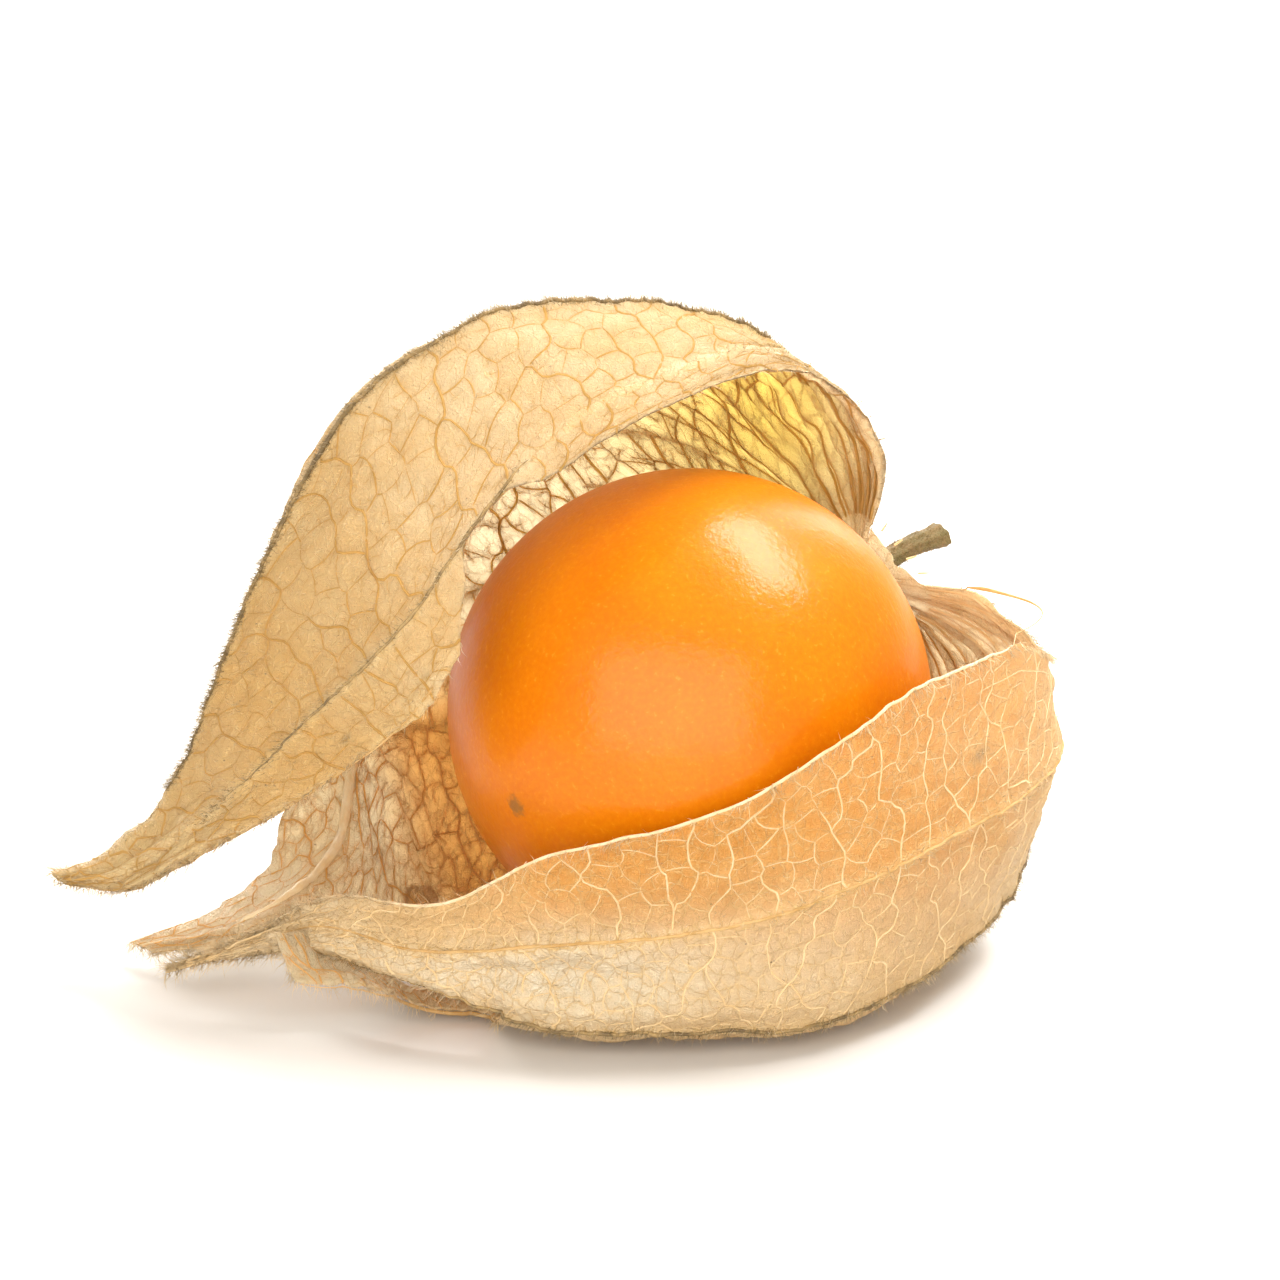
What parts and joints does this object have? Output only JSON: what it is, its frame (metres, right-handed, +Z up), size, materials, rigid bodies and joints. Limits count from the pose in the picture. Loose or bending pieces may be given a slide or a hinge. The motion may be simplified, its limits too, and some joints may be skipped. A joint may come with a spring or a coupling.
{
  "type": "physalis berry",
  "caption": "Physalis berry lying on its side, still in its torn papery husk with the cut stem on.",
  "frame": {"origin": "on the resting surface, under the middle of the berry, on the husk's flat underside", "axes": "+Z up; +X along the length, from the husk's tips towards the stem; +Y away from the side where the husk is torn open"},
  "size_m": [0.0427, 0.028, 0.0285],
  "materials": {
    "berry_skin": "smooth waxy fruit skin, softly glossy, saturated orange",
    "husk_paper": "dry, thin, translucent leaf tissue with raised brown veins and fine hairs",
    "stem_bark": "rough, brown green, finely hairy"
  },
  "bodies": {
    "root": {"berry": "berry_skin", "husk": "husk_paper", "stem": "stem_bark"}
  },
  "joints": []
}
